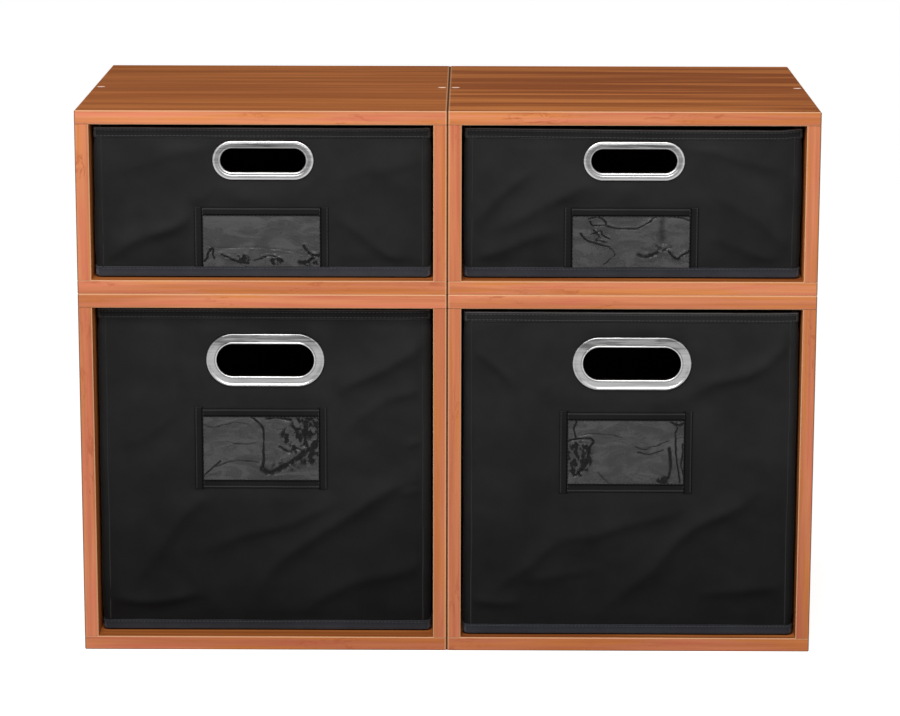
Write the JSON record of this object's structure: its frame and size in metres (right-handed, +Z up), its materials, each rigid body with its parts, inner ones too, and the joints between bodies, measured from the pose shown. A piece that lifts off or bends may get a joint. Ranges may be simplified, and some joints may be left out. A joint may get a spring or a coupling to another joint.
{
  "type": "cube storage unit",
  "caption": "Modular cube storage unit of laminated boards, half-height cubes over full cubes, each holding a pull-out fabric bin with a metal grommet handle and a clear label pocket.",
  "frame": {"origin": "centre of the base, midway between the two columns and between front and back", "axes": "+Z up, +X to the right seen from the front, the open fronts face -Y"},
  "size_m": [0.66, 0.33, 0.495],
  "materials": {
    "board_laminate": "satin cherry wood-grain laminate",
    "back_board": "printed hardboard",
    "dowel_wood": "bare beech",
    "pin_metal": "plated steel",
    "bin_fabric": "embossed non-woven fabric",
    "binding_tape": "folded non-woven tape, stitched",
    "stiffener_board": "grey-brown chipboard",
    "base_board_cover": "chipboard covered in non-woven fabric",
    "handle_metal": "bright plated",
    "clear_film": "clear soft vinyl, crinkled"
  },
  "bodies": {
    "cubes": {"upper_left_cube_top_panel": "board_laminate", "upper_left_cube_bottom_panel": "board_laminate", "upper_left_cube_left_panel": "board_laminate", "upper_left_cube_right_panel": "board_laminate", "upper_left_cube_back_panel": "back_board", "upper_right_cube_top_panel": "board_laminate", "upper_right_cube_bottom_panel": "board_laminate", "upper_right_cube_left_panel": "board_laminate", "upper_right_cube_right_panel": "board_laminate", "upper_right_cube_back_panel": "back_board", "lower_left_cube_top_panel": "board_laminate", "lower_left_cube_bottom_panel": "board_laminate", "lower_left_cube_left_panel": "board_laminate", "lower_left_cube_right_panel": "board_laminate", "lower_left_cube_back_panel": "back_board", "lower_right_cube_top_panel": "board_laminate", "lower_right_cube_bottom_panel": "board_laminate", "lower_right_cube_left_panel": "board_laminate", "lower_right_cube_right_panel": "board_laminate", "lower_right_cube_back_panel": "back_board", "dowels": "dowel_wood", "lock_pins": "pin_metal"},
    "upper_left_bin": {"upper_left_bin_wall_fabric": "bin_fabric", "upper_left_bin_wall_stiffeners": "stiffener_board", "upper_left_bin_base_fabric": "bin_fabric", "upper_left_bin_rim_binding": "binding_tape", "upper_left_bin_handle_front": "handle_metal", "upper_left_bin_handle_back": "handle_metal", "upper_left_bin_label_frame": "binding_tape", "upper_left_bin_label_film": "clear_film"},
    "upper_left_base_board": {"upper_left_bin_base_board": "base_board_cover"},
    "upper_right_bin": {"upper_right_bin_wall_fabric": "bin_fabric", "upper_right_bin_wall_stiffeners": "stiffener_board", "upper_right_bin_base_fabric": "bin_fabric", "upper_right_bin_rim_binding": "binding_tape", "upper_right_bin_handle_front": "handle_metal", "upper_right_bin_handle_back": "handle_metal", "upper_right_bin_label_frame": "binding_tape", "upper_right_bin_label_film": "clear_film"},
    "upper_right_base_board": {"upper_right_bin_base_board": "base_board_cover"},
    "lower_left_bin": {"lower_left_bin_wall_fabric": "bin_fabric", "lower_left_bin_wall_stiffeners": "stiffener_board", "lower_left_bin_base_fabric": "bin_fabric", "lower_left_bin_rim_binding": "binding_tape", "lower_left_bin_handle_front": "handle_metal", "lower_left_bin_handle_back": "handle_metal", "lower_left_bin_label_frame": "binding_tape", "lower_left_bin_label_film": "clear_film"},
    "lower_left_base_board": {"lower_left_bin_base_board": "base_board_cover"},
    "lower_right_bin": {"lower_right_bin_wall_fabric": "bin_fabric", "lower_right_bin_wall_stiffeners": "stiffener_board", "lower_right_bin_base_fabric": "bin_fabric", "lower_right_bin_rim_binding": "binding_tape", "lower_right_bin_handle_front": "handle_metal", "lower_right_bin_handle_back": "handle_metal", "lower_right_bin_label_frame": "binding_tape", "lower_right_bin_label_film": "clear_film"},
    "lower_right_base_board": {"lower_right_bin_base_board": "base_board_cover"}
  },
  "joints": [
    {"name": "upper_left_bin_slide", "type": "slide", "parent": "cubes", "child": "upper_left_bin", "axis": [0, -1, 0], "range_m": [0, 0.33]},
    {"name": "upper_left_base_board_lift", "type": "slide", "parent": "upper_left_bin", "child": "upper_left_base_board", "axis": [0, 0, 1], "range_m": [0, 0.12]},
    {"name": "upper_right_bin_slide", "type": "slide", "parent": "cubes", "child": "upper_right_bin", "axis": [0, -1, 0], "range_m": [0, 0.33]},
    {"name": "upper_right_base_board_lift", "type": "slide", "parent": "upper_right_bin", "child": "upper_right_base_board", "axis": [0, 0, 1], "range_m": [0, 0.12]},
    {"name": "lower_left_bin_slide", "type": "slide", "parent": "cubes", "child": "lower_left_bin", "axis": [0, -1, 0], "range_m": [0, 0.33]},
    {"name": "lower_left_base_board_lift", "type": "slide", "parent": "lower_left_bin", "child": "lower_left_base_board", "axis": [0, 0, 1], "range_m": [0, 0.28]},
    {"name": "lower_right_bin_slide", "type": "slide", "parent": "cubes", "child": "lower_right_bin", "axis": [0, -1, 0], "range_m": [0, 0.33]},
    {"name": "lower_right_base_board_lift", "type": "slide", "parent": "lower_right_bin", "child": "lower_right_base_board", "axis": [0, 0, 1], "range_m": [0, 0.28]}
  ]
}
